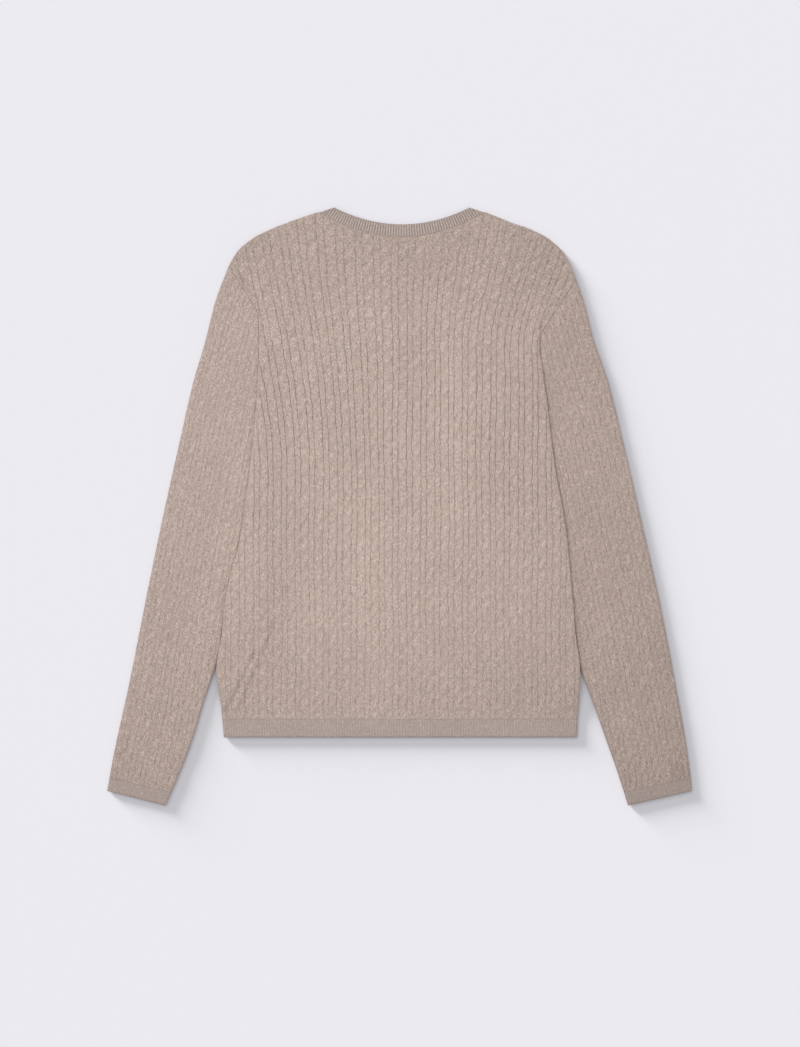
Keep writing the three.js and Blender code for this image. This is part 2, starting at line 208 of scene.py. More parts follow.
LIFT_MARGIN = 8.0
LIFT_FULL_Y = 150.0
HEM_RAMP = 60.0
NECK = {"left": -83.0, "right": 89.0, "y": 379.5, "back": 358.0, "front": 318.0, "band": 16.0}
NECK_SEAM = {"left": -102.5, "right": 107.3, "y": 373.0}

# Soft folds in the cloth: each runs from one place to another, in mm, and is so wide and so high
FOLDS = [
    (-160, -150, -197, -238, 2.8, -0.7),
    (-183, -184, -220, -257, 2.8, -0.9),
    (-172, -170, -208, -250, 3.5, 0.5),
    (-171, -182, -205, -258, 2.4, -0.5),
    (-196, -190, -224, -247, 5, 0.3),
    (-158, 170, -163, -170, 22, -0.25),
    (198, 265, 179, 228, 1.8, -0.9),
    (179, 228, 177, 192, 1.6, -0.8),
    (188, 268, 174, 226, 1.8, -0.7),
    (184, 262, 168, 214, 6, 0.3),
    (-196, 286, -172, 238, 4, -0.4),
    (-176, 272, -160, 214, 7, 0.3),
    (345, -327, 350, -346, 1.3, -1.2),
    (352, -326, 357, -345, 1.3, -0.9),
    (358, -330, 362, -347, 1.3, -1.2),
    (60, 210, 70, 40, 26, 0.3),
    (-40, -60, -30, -220, 30, 0.3),
]
# Painted light and shade on the folds: how much lighter a fold's crest is painted, and a trough darker,
# for each mm of its height
FOLD_PAINTED_LIGHT = 0.17


def smooth_step(v):
    v = np.clip(v, 0, 1)
    return v * v * (3 - 2 * v)


def curve(table, column, y):
    """A smooth line through a table's rows."""
    ys = table[:, 0]
    xs = table[:, column]
    slope = np.gradient(xs, ys)
    i = np.clip(np.searchsorted(ys, y) - 1, 0, len(ys) - 2)
    step = ys[i + 1] - ys[i]
    w = (y - ys[i]) / step
    w2 = w * w
    w3 = w2 * w
    start = (2 * w3 - 3 * w2 + 1) * xs[i] + (w3 - 2 * w2 + w) * step * slope[i]
    return start + (3 * w2 - 2 * w3) * xs[i + 1] + (w3 - w2) * step * slope[i + 1]


def body_side(side, y):
    notch = NOTCH[side]
    point = SHOULDER[side]
    line = np.vstack([BODY_SIDE, (notch[1], notch[0], notch[0])])
    below = curve(line, SIDES[side], np.minimum(y, notch[1]))
    above = np.interp(y, (notch[1], point[1]), (notch[0], point[0]))
    return np.where(y < notch[1], below, above)


def both_sides(x, left, right):
    return np.where(x < 0, left, right)


def shoulder_y(x):
    rows = OUTLINE[9:]
    left = np.stack([-rows[::-1, 1], rows[::-1, 0]], 1)
    right = np.stack([rows[::-1, 2], rows[::-1, 0]], 1)
    return both_sides(
        x,
        curve(left, 1, np.clip(-x, left[0, 0], left[-1, 0])),
        curve(right, 1, np.clip(x, right[0, 0], right[-1, 0])),
    )


def neck_line(x, left, right, low, high):
    middle = (left + right) / 2
    return low + (high - low) * ((x - middle) / (right - middle)) ** 2


def panel_top(x, ply):
    low = NECK[ply] - NECK["band"]
    seam = neck_line(x, NECK_SEAM["left"], NECK_SEAM["right"], low, NECK_SEAM["y"]) - SEAM
    in_neck = (x > NECK_SEAM["left"]) & (x < NECK_SEAM["right"])
    return np.where(in_neck, np.minimum(seam, shoulder_y(x)), shoulder_y(x))


def lift(x, y):
    """How far the body is lifted by the sleeve that lies under its side: in full over the sleeve,
    less towards the middle, the armhole and the hem."""
    full = both_sides(
        x,
        -curve(SLEEVE_INNER, 1, np.minimum(y, ARMPIT_Y)),
        curve(SLEEVE_INNER, 2, np.minimum(y, ARMPIT_Y)),
    ) - LIFT_MARGIN
    notch = both_sides(x, NOTCH["left"][1], NOTCH["right"][1])
    across = smooth_step((np.abs(x) - full + LIFT_RAMP) / LIFT_RAMP)
    below = smooth_step((notch - y) / (notch - LIFT_FULL_Y))
    above = smooth_step((y - HEM_SEAM_Y) / HEM_RAMP)
    return LIFT * across * below * above


def folds(x, y):
    """Height of the folds and of the slow waves that the cloth has all over."""
    height = 0.12 * np.sin(x / 31 + 1.3 * np.sin(y / 67)) * np.sin(y / 43 + 1.1 * np.sin(x / 59))
    for x0, y0, x1, y1, width, rise in FOLDS:
        length = math.hypot(x1 - x0, y1 - y0)
        along = ((x - x0) * (x1 - x0) + (y - y0) * (y1 - y0)) / length
        across = ((x - x0) * (y1 - y0) - (y - y0) * (x1 - x0)) / length
        past = np.maximum(0, np.maximum(-along, along - length))
        height = height + rise * np.exp(-((across / width) ** 2) - (past / (2 * width)) ** 2)
    return height


def strand(across, middle, half_width):
    """A rounded strand of stitches: 1 along its middle and 0 past its sides."""
    return np.clip(1 - np.abs((across - middle) / half_width) ** 3.5, 0, 1)


def knit_relief(wale, course):
    """Height of the knit over its ground, how open it lies to the light, 0 to 1, which the yarn paints
    in as shade, and where one strand crosses another, 0 to 1. In a cable the left strand crosses over
    the right one, leaning to the right, again and again."""
    repeat = np.mod((wale - REPEAT_START) / REPEAT, 1)
    cable = (repeat / CABLE_SHARE - 0.5) * 2
    plain = ((repeat - CABLE_SHARE) / (1 - CABLE_SHARE) - 0.5) * 2
    turn = np.mod(course / CROSSING + 0.07 * np.sin(wale / 9.1) + 0.05 * np.sin(course / 61), 1) - 0.5
    crossing = np.cos(np.pi * turn)
    sway = 0.5 * np.sin(np.pi * turn)
    half_width = 0.5 + 0.34 * crossing
    front = strand(cable, sway, half_width)
    back_strand = strand(cable, -sway, half_width)
    front_height = (0.72 + 0.28 * crossing) * front ** 0.6
    back_height = (0.72 - 0.3 * crossing) * back_strand ** 0.6
    cable_height = np.maximum(front_height, back_height)
    plain_height = np.clip(1 - np.abs(plain) ** 6, 0, 1)
    in_cable = repeat < CABLE_SHARE
    height = np.where(in_cable, CABLE_RISE * cable_height, WALE_RISE * plain_height)
    opened = np.where(in_cable, 0.35 + 0.65 * cable_height, 0.75 + 0.1 * plain_height)
    gutter = np.minimum(np.minimum(repeat, 1 - repeat), np.abs(repeat - CABLE_SHARE)) * REPEAT
    crossed = np.where(in_cable, np.clip(crossing * 1.6 - 0.6, 0, 1) * front, 0)
    return height - FURROW * np.exp(-((gutter / 0.5) ** 2)), opened, crossed


def drop(distance, radius, depth):
    """How far a rounded edge lies below the cloth's face: its whole depth on the edge itself."""
    d = np.clip(1 - distance / radius, 0, 1)
    return depth * (1 - np.sqrt(1 - d * d))


def painted_edge_shade(distance, depth):
    """Painted shade: the colour is made a little darker at an edge, where the yarn turns away, and by a
    seam, where it dips in.
    """
    return 1 - depth * np.exp(-((distance / 0.9) ** 2))


# Where the columns of points lie in one repeat: close together at the furrows
REPEAT_COLUMNS = np.array([
    0, 0.03, 0.08, 0.16, 0.235, 0.3075, 0.38, 0.455, 0.535, 0.585, 0.615, 0.65, 0.74, 0.875, 0.965,
])


def wale_columns(low, high, start):
    first = math.floor((low - start) / REPEAT)
    last = math.ceil((high - start) / REPEAT)
    columns = np.concatenate([start + (k + REPEAT_COLUMNS) * REPEAT for k in range(first, last)])
    return np.concatenate([[low], columns[(columns > low + 0.4) & (columns < high - 0.4)], [high]])


def row_places(count):
    """Rows from 0 to 1, closer together at both ends."""
    even = np.linspace(0.006, 0.994, count - 7)
    return np.concatenate([[0, 0.0007, 0.0018, 0.0033], even, [0.9967, 0.9982, 0.9993, 1]])


INNER_ROWS = 16


def cloth_grid(columns, rows, ring=False):
    """Two grids of squares, an outer one at height 0 and an inner one at -1, joined by bridging: a
    panel all along its border, a ring only at both ends, as its two sides meet when it is shaped."""
    made = bmesh.new()
    bmesh.ops.create_grid(made, x_segments=columns, y_segments=rows, size=0.5)
    low = Matrix.Translation((0, 0, -1))
    inner = bmesh.ops.create_grid(made, x_segments=columns, y_segments=INNER_ROWS, size=0.5, matrix=low)
    if ring:
        for end in (-0.5, 0.5):
            chain = [e for e in made.edges if all(abs(v.co.y - end) < 1e-6 for v in e.verts)]
            bmesh.ops.bridge_loops(made, edges=chain)
        return made
    sides = {e for v in inner["verts"] for e in v.link_edges if e.is_boundary and abs(
        e.verts[0].co.x - e.verts[1].co.x) < 1e-6}
    bmesh.ops.subdivide_edges(made, edges=list(sides), cuts=rows // INNER_ROWS - 1)
    bmesh.ops.bridge_loops(made, edges=[e for e in made.edges if e.is_boundary])
    return made


def knit_object(name, made, shape):
    """shape turns each point's place on the grid, 0 to 1 each way, and its layer, 0 outside and -1
    inside, into its place in mm, its wale and course in mm, and what the yarn material reads: how open
    it lies to the light, painted in as shade, how strong the painted shade lines in its gutters are,
    its tone with painted light and shade, and where cables cross."""
    mesh = bpy.data.meshes.new(name)
    made.to_mesh(mesh)
    made.free()
    count = len(mesh.vertices)
    places = np.empty(count * 3)
    mesh.vertices.foreach_get("co", places)
    places = np.round(places.reshape(-1, 3), 6)
    xyz, wale, course, marks = shape(places[:, 0] + 0.5, places[:, 1] + 0.5, places[:, 2])
    mesh.vertices.foreach_set("co", (np.stack(xyz, 1) * MM).ravel())
    corner = np.empty(len(mesh.loops), dtype=np.int32)
    mesh.loops.foreach_get("vertex_index", corner)
    uv = mesh.uv_layers.new(name="knit")
    uv.data.foreach_set("uv", np.stack([wale, course], 1)[corner].ravel())
    for mark, values in marks.items():
        attribute = mesh.attributes.new(mark, "FLOAT", "POINT")
        attribute.data.foreach_set("value", values)
    made = bmesh.new()
    made.from_mesh(mesh)
    bmesh.ops.remove_doubles(made, verts=made.verts, dist=1e-7)
    bmesh.ops.recalc_face_normals(made, faces=made.faces)
    made.to_mesh(mesh)
    made.free()
    mesh.polygons.foreach_set("use_smooth", np.ones(len(mesh.polygons), dtype=bool))
    piece = bpy.data.objects.new(name, mesh)
    bpy.context.collection.objects.link(piece)
    return piece


# A stitch, half the width of the painted shade line in a gutter, and the pitch and depth of the painted
# light and shade on the slanted legs that show on a crossing
STITCH_WIDTH = 1.8
STITCH_HEIGHT = 1.4
GUTTER_HALF = 0.34
STROKE_PITCH = 3.4
STROKE_DEPTH = 0.24


def yarn_material(name, tone, gutters, grain):
    """Melange yarn: light and dark fibres spun together, stitches as fine bumps with their hollows
    painted a little darker as shade, and thin lines of painted shade where a gutter between two wales
    lets no light in. The knit's relief, edges and folds are painted in as light and shade from its
    attributes. grain is how much one stitch differs from the next."""
    made, shader, place = new_material(name, 0.92)
    shader.inputs["Sheen Weight"].default_value = 0.1
    shader.inputs["Sheen Roughness"].default_value = 0.6
    shader.inputs["Specular IOR Level"].default_value = 0.2
    uv = place.node("ShaderNodeUVMap", {"uv_map": "knit"})
    across = uv.node("ShaderNodeSeparateXYZ", None, {0: uv})
    along = Wire(made.node_tree, across.socket.node.outputs["Y"])
    openness, gutter, tone_and_painted_light, crossing = [
        place.node("ShaderNodeAttribute", {"attribute_name": mark}, None, output="Fac")
        for mark in ("openness", "gutter", "tone", "crossing")]

    column = across * (1 / STITCH_WIDTH)
    leg = place.maths("ABSOLUTE", place.maths("FRACT", column) - 0.5) * 2.0
    row = along * (1 / STITCH_HEIGHT) + leg * 0.75
    slant = place.maths("FRACT", row)
    loop = 1 - place.maths("ABSOLUTE", slant - 0.5) * 2.0
    hollow = place.maths("ABSOLUTE", leg - 0.5) * 2.0
    stitch = loop * (1 - hollow * hollow * 0.6)

    cell = place.node("ShaderNodeCombineXYZ", None, {
        "X": place.maths("FLOOR", column * 2.0), "Y": place.maths("FLOOR", row)})
    spun = place.node("ShaderNodeTexWhiteNoise", None, {"Vector": cell})
    stretched = place.node("ShaderNodeVectorMath", {"operation": "MULTIPLY"}, {
        0: uv, 1: (1.0, 0.55, 1.0)})
    fibre = place.node("ShaderNodeTexNoise", None, {"Vector": stretched, "Scale": 0.62, "Detail": 3.0,
                                                    "Roughness": 0.75})
    fleck = place.node("ShaderNodeTexNoise", None, {"Vector": uv, "Scale": 0.42, "Detail": 2.0,
                                                    "Roughness": 0.8})
    cloud = place.node("ShaderNodeTexNoise", None, {"Vector": place, "Scale": 22.0, "Detail": 3.0})
    broken = place.node("ShaderNodeTexNoise", None, {"Vector": uv, "Scale": 0.1, "Detail": 2.0})

    # Painted light and shade: the tone attribute's painted shade and fold light, and darker where the
    # knit lies less open to the light
    shade = tone_and_painted_light * (0.66 + 0.34 * openness)
    shade = shade * (0.89 + fibre * 0.22) * (0.94 + fleck * 0.12) * (0.95 + cloud * 0.1)
    # Painted shade in the hollows between stitch loops, and a random tone for each stitch
    shade = shade * (0.93 + stitch * 0.14) * (1 - grain / 2 + spun * grain)
    if gutters:
        # Painted light and shade on the slanted legs of a crossing
        stroke = place.maths("SINE", (across - along) * (math.tau / STROKE_PITCH))
        shade = shade * (1 + stroke * crossing * STROKE_DEPTH)
        # Painted shade: thin dark lines in the gutters between wales
        repeat = place.maths("FRACT", (across - REPEAT_START) * (1 / REPEAT) + 100.0)
        first = place.maths("MINIMUM", repeat, 1 - repeat)
        second = place.maths("ABSOLUTE", repeat - CABLE_SHARE)
        near = place.maths("MINIMUM", first, second) * (REPEAT / GUTTER_HALF)
        line = place.node("ShaderNodeMapRange", {"interpolation_type": "SMOOTHSTEP"},
                          {0: near, 1: 0.0, 2: 2.0, 3: 1.0, 4: 0.0})
        strength = place.node("ShaderNodeMapRange", None, {0: broken, 1: 0.3, 2: 0.6, 3: 0.22, 4: 0.62})
        shade = shade * (1 - line * strength * gutter)
    light_fleck = place.node("ShaderNodeMapRange", None, {0: spun, 1: 0.8, 2: 1.0, 3: 0.0, 4: 1.0})
    yarn = place.node("ShaderNodeMix", {"data_type": "RGBA"}, {
        0: light_fleck, 6: (*tone, 1), 7: tuple(c * 0.85 + 0.14 for c in tone) + (1,)}, output=2)
    colour = place.node("ShaderNodeVectorMath", {"operation": "SCALE"}, {0: yarn, "Scale": shade})
    made.node_tree.links.new(colour.socket, shader.inputs["Base Color"])
    bump = place.node("ShaderNodeBump", None, {
        "Strength": 0.9, "Distance": 0.0005, "Height": stitch * 0.7 + fibre * 1.0})
    made.node_tree.links.new(bump.socket, shader.inputs["Normal"])
    return made


BODY_TONE = (0.617, 0.484, 0.421)
cable_yarn = yarn_material("cable_yarn", BODY_TONE, True, 0.48)


# The halvings that find where a wale meets the top edge of its panel
TOP_STEPS = 16


def body_panel(ply, wales, row_count, base, relief_scale):
    """A body panel between its side, shoulder, neck and hem edges. The outer side of the front is
    its underside. base is the height of the panel's inner side over the ground."""
    rows = row_places(row_count)
    outward = 1 if ply == "back" else -1

    def shape(s, t, layer):
        wale = np.interp(s, np.linspace(0, 1, len(wales)), wales)
        t = np.interp(t, np.linspace(0, 1, len(rows)), rows)
        low = np.full_like(wale, 200.0)
        high = np.full_like(wale, 390.0)
        for _ in range(TOP_STEPS):
            top = (low + high) / 2
            x = squashed(wale, top, both_sides(wale, body_side("left", top), body_side("right", top)))
            under = panel_top(x, ply) > top
            low = np.where(under, top, low)
            high = np.where(under, high, top)
        y = HEM_SEAM_Y + SEAM + t * (top - HEM_SEAM_Y - SEAM)
        edge = both_sides(wale, body_side("left", y), body_side("right", y))
        x = squashed(wale, y, edge)
        side_room = np.abs(edge) - np.abs(x)
        end_room = np.minimum(y - HEM_SEAM_Y - SEAM, top - y)
        room = np.minimum(side_room, end_room)
        free_side = smooth_step((both_sides(x, NOTCH["left"][1], NOTCH["right"][1]) - y) / 12)
        on_shoulder = (top - y < 30) & ((x < NECK_SEAM["left"]) | (x > NECK_SEAM["right"]))
        down = np.maximum(
            drop(side_room, SEAM_ROUND + free_side * (SIDE_ROUND - SEAM_ROUND),
                 SEAM_DROP + free_side * (EDGE_DROP - SEAM_DROP)),
            drop(end_room, np.where(on_shoulder, EDGE_ROUND, SEAM_ROUND),
                 np.where(on_shoulder, EDGE_DROP, SEAM_DROP)),
        )
        free_wale = x / (1 + both_sides(x, fan("left", y), fan("right", y)))
        free_wale = free_wale - wander(free_wale, y)
        height, opened, crossed = knit_relief(free_wale, y)
        fade = smooth_step((room - 0.5) / RELIEF_FADE)
        outside = base + outward * (WALL - down + relief_scale * height * fade)
        inner_wall = 0 if ply == "back" else WALL
        z = np.where(layer > -0.5, outside, base) + inner_wall
        creased = folds(x, y)
        z = z + lift(x, y) + relief_scale * creased * smooth_step(room / 12)
        # Where the painted shade lines in the gutters are weaker: by the neck and away from the middle
        by_neck = np.exp(-(((x - 5) / 75) ** 2) - ((y - 325) / 36) ** 2)
        by_middle = np.exp(-(((y - 110) / 170) ** 2))
        above_hem = smooth_step((y - HEM_SEAM_Y) / 9)
        # Painted shade in tone: darker towards the top, the foot and the right of the body and along
        # its side edges and seams, lighter on fold crests and darker in fold troughs
        painted_shade_top = 0.06 * smooth_step((y - 240) / 80)
        painted_shade_foot = 0.05 * smooth_step((-130 - y) / 130)
        painted_shade_right = 0.03 * smooth_step((x - 100) / 110)
        painted_side_shade = painted_edge_shade(side_room, both_sides(x, 0.2, 0.32) - 0.12 * free_side)
        # gutter is how strong the painted shade lines in the gutters are; openness, crossing and tone
        # carry the rest of the painted light and shade
        marks = {
            "openness": np.where(layer > -0.5, EDGE_OPENNESS * (1 - fade) + fade * opened, 1),
            "gutter": smooth_step(room / GUTTER_FADE) * above_hem * (1 - 0.5 * by_neck)
            * (0.45 + 0.6 * by_middle),
            "crossing": crossed * fade * (1 - 0.6 * smooth_step((y - 170) / 110)),
            "tone": painted_side_shade * (1 + FOLD_PAINTED_LIGHT * creased)
            * (1 - painted_shade_top - painted_shade_foot - painted_shade_right),
        }
        return (x, y, z), free_wale, y, marks

    return shape


def fan(side, y):
    """The wales spread towards the shoulders, from lower down on the left, where the body is pulled."""
    start, ramp, slope = (55, 110, 0.0014) if side == "left" else (190, 60, 0.0021)
    t = np.clip((y - start) / ramp, 0, 1)
    return slope * (ramp * t * t / 2 + np.maximum(0, y - start - ramp))


# Wales that run past an edge are drawn into this width
SQUASH = 3.0


def wander(wale, y):
    """Wales are never quite straight, in mm."""
    slow = 1.1 * np.sin(y / 41 + wale / 33) * np.sin(wale / 47 - y / 97)
    quick = 0.22 * np.sin(y / 5.3 - wale / 3.7)
    stitchwise = 0.3 * np.sin(y / 2.3 + wale / 2.9 + 2 * np.sin(y / 19))
    return slow + 0.3 * np.sin(y / 9.7 + wale / 6.1) + quick + stitchwise


def drawn_in(spread, reach, edge):
    """What runs on past an edge, as far as reach, is drawn into the last few mm before it."""
    start = edge - SQUASH
    past = np.maximum(0, spread - start)
    end = np.exp(-(reach - start) / SQUASH)
    into = SQUASH * (1 - (np.exp(-past / SQUASH) - end) / (1 - end))
    return np.where(spread > start, start + np.minimum(into, SQUASH), spread)


def squashed(wale, y, edge):
    """Wales run straight on past the panel's edge; those past it are drawn into its rounding."""
    spread = 1 + both_sides(wale, fan("left", y), fan("right", y))
    free = (wale + wander(wale, y)) * spread
    return np.sign(free) * drawn_in(np.abs(free), HALF_COLUMNS * spread, np.abs(edge))


back_columns = wale_columns(-HALF_COLUMNS, HALF_COLUMNS, REPEAT_START)
BACK_ROWS = 224
made = cloth_grid(len(back_columns) - 1, BACK_ROWS)
back = knit_object("back_panel", made, body_panel("back", back_columns, BACK_ROWS + 1, UPPER, 1.0))
back.data.materials.append(cable_yarn)
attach(back, "root")
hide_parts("back")

# The front panel: the same cut with a deeper neck, lying face down under the back, so that only its
# edges and, from below, its flat face show.
front_columns = np.linspace(-HALF_COLUMNS, HALF_COLUMNS, 97)
FRONT_ROWS = 96
made = cloth_grid(len(front_columns) - 1, FRONT_ROWS)
front = knit_object("front_panel", made, body_panel("front", front_columns, FRONT_ROWS + 1, 0, 0.0))
front.data.materials.append(cable_yarn)
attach(front, "root")
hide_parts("front")

# The sleeves: one tapered panel each, in the same cable knit, joined along its long seam to a tube
# that lies flat. The top end is linked into the armhole and goes under the side of the body.
OUTER_CUFF_Y = -361.0
INNER_CUFF_Y = -379.5
CUFF_RIB = 17.0
SLEEVE_UNDER_Y = 160.0
SLEEVE_LENGTH = 655.0
SLEEVE_COLUMNS = 150.0
# Painted light and shade: the left sleeve is painted lighter and the right one darker, both darker
# towards the cuff, with a darker line by the armhole seam
SLEEVE_PAINTED_LIGHT = {"left": 1.03, "right": 0.96}
PAINTED_SHADE_TO_CUFF = 0.08
ARMHOLE_PAINTED_SHADE = {"left": 0.2, "right": 0.3}
SLEEVE_NARROWING = 0.14
SLEEVE_START = -4.0
SIDE_FOLD_ROUND = 5.0
SLEEVE_ROWS = 256
UNDER_COLUMNS = 24


def sleeve_end(side):
    """Corners of the top end: down the armhole, along the side of the body, then under it."""
    out = math.copysign(SEAM, SHOULDER[side][0])
    top = SHOULDER[side][1] - SEAM
    corners = [
        (float(curve(OUTLINE, SIDES[side], top)), top),
        (NOTCH[side][0] + out, NOTCH[side][1] - SEAM),
    ]
    for y in (205.0, 171.0, SLEEVE_UNDER_Y):
        corners.append((float(body_side(side, y)) + out, y))
    corners.append((float(curve(SLEEVE_INNER, SIDES[side], ARMPIT_Y)), ARMPIT_Y))
    corners = np.array(corners)
    cuff = np.array([
        (curve(OUTLINE, SIDES[side], OUTER_CUFF_Y), OUTER_CUFF_Y),
        (curve(SLEEVE_INNER, SIDES[side], INNER_CUFF_Y), INNER_CUFF_Y),
    ]).mean(axis=0)
    axis = cuff - corners[[0, -1]].mean(axis=0)
    reach = corners[:, 0] * axis[1] - corners[:, 1] * axis[0]
    return (reach - reach[0]) / (reach[-1] - reach[0]), corners


def sleeve_place(side, q, t):
    """q runs across the sleeve from its outer to its inner side, t along it from armhole to cuff."""
    share, corners = sleeve_end(side)
    end = [np.interp(q, share, corners[:, axis]) for axis in (0, 1)]
    rise = CUFF_RIB + SEAM
    y_outer = corners[0, 1] + t * (OUTER_CUFF_Y + rise - corners[0, 1])
    y_inner = ARMPIT_Y + t * (INNER_CUFF_Y + rise - ARMPIT_Y)
    outer = (curve(OUTLINE, SIDES[side], y_outer), y_outer)
    inner = (curve(SLEEVE_INNER, SIDES[side], y_inner), y_inner)
    place = []
    for axis in (0, 1):
        straight = corners[0, axis] + q * (corners[-1, axis] - corners[0, axis])
        place.append(outer[axis] + q * (inner[axis] - outer[axis]) + (end[axis] - straight) * (1 - t))
    return place[0], place[1], np.hypot(inner[0] - outer[0], inner[1] - outer[1])


def sleeve_shape(side, stations, rows):
    turn = 1 if side == "left" else -1
    top_x, top_y, _ = sleeve_place(side, 0.5, 0.0)
    end_x, end_y, _ = sleeve_place(side, 0.5, 1.0)
    down = np.array([end_x - top_x, end_y - top_y]) / np.hypot(end_x - top_x, end_y - top_y)

    def shape(s, t, layer):
        around = np.interp(s, np.linspace(0, 1, len(stations)), stations)
        t = np.interp(t, np.linspace(0, 1, len(rows)), rows)
        upper = around <= SLEEVE_COLUMNS
        wale = np.where(upper, around, 2 * SLEEVE_COLUMNS - around)
        gauge = 1 - SLEEVE_NARROWING * t
        _, _, width = sleeve_place(side, 0.5, t)
        across = drawn_in(wale * gauge, SLEEVE_COLUMNS * gauge, width)
        inside = layer < -0.5
        across = np.where(inside, WALL + across * (1 - 2 * WALL / width), across)
        x, y, _ = sleeve_place(side, across / width, t)
        course = (x - top_x) * down[0] + (y - top_y) * down[1]
        side_room = np.minimum(across, width - across)
        room = np.minimum(side_room, np.minimum(t, 1 - t) * SLEEVE_LENGTH)
        quick = 0.25 * np.sin(course / 2.4 + wale / 3.1)
        slow = 0.5 * np.sin(course / 9.3 - wale / 11)
        waved = turn * (wale + quick + slow)
        height, opened, crossed = knit_relief(waved, -course)
        fade = smooth_step((room - 0.5) / RELIEF_FADE)
        dents = 0.2 * np.sin(course / 9.5 + wale / 11) * np.sin(wale / 13 - course / 31)
        end_drop = drop(room, SEAM_ROUND, SEAM_DROP)
        side_drop = drop(side_room, SIDE_FOLD_ROUND, FOLD)
        high = TOP - np.maximum(side_drop, end_drop) + (height + dents) * fade
        low = np.maximum(side_drop, end_drop)
        tube = np.clip((side_room - WALL) / WALL, 0, 1)
        lining = np.where(upper, FOLD + (UPPER - FOLD) * tube, FOLD + (WALL - FOLD) * tube)
        z = np.where(inside, lining, np.where(upper, high, low))
        # Painted light and shade in tone: darker along the sides and by the armhole seam, lighter on
        # fold crests and darker in fold troughs, lighter on the left sleeve and darker on the right,
        # darker towards the cuff
        marks = {
            "openness": np.where(upper & ~inside, EDGE_OPENNESS * (1 - fade) + fade * opened, 1),
            "gutter": smooth_step(room / GUTTER_FADE) * 0.42,
            "crossing": crossed * fade * 0.5,
            "tone": painted_edge_shade(side_room, 0.12) * painted_edge_shade(t * SLEEVE_LENGTH, ARMHOLE_PAINTED_SHADE[side])
            * (1 + FOLD_PAINTED_LIGHT * folds(x, y)) * (SLEEVE_PAINTED_LIGHT[side] - PAINTED_SHADE_TO_CUFF * t ** 2),
        }
        return (x, y, z), waved, course, marks

    return shape


sleeve_yarn = yarn_material("sleeve_yarn", BODY_TONE, True, 0.54)
sleeves = {}
upper_columns = wale_columns(0, SLEEVE_COLUMNS, SLEEVE_START)
first_columns = [0, 0.25, 0.7, 1.3, 2.1, 3.1]
upper_columns = np.concatenate([first_columns, upper_columns[upper_columns > 3.8]])
under_share = np.concatenate([[0.004, 0.012], np.linspace(0.02, 0.98, UNDER_COLUMNS), [0.99, 0.997, 1]])
stations = np.concatenate([upper_columns, SLEEVE_COLUMNS * (1 + under_share)])
for side in ("left", "right"):
    made = cloth_grid(len(stations) - 1, SLEEVE_ROWS, ring=True)
    shape = sleeve_shape(side, stations, row_places(SLEEVE_ROWS + 1))
    sleeve = knit_object(f"knit_sleeve_{side}", made, shape)
    sleeve.data.materials.append(sleeve_yarn)
    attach(sleeve, "root")
    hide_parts(f"sleeve_{side}")
    sleeves[side] = sleeve

# The ribs: rings of fine one-by-one rib. The neckband is linked on round the neck, and its linking
# shows as a raised line; the hem and the cuffs run on from the panels and the sleeves.
RIB_PITCH = 3.5
RIB_RISE = {"neckband": 0.6, "hem_rib": 0.08, "cuff_left": 0.06, "cuff_right": 0.06}
DEEP_RIB = 0.45
RIB_ROWS = 16
FREE_EDGE_ROUND = 2.6
FREE_EDGE_DROP = FOLD - 0.3
CHAIN_PLACE = 1.0
CHAIN_HALF = 0.6
CHAIN_RISE = 0.4
rib_yarn = yarn_material("rib_yarn", (0.535, 0.435, 0.39), False, 0.22)


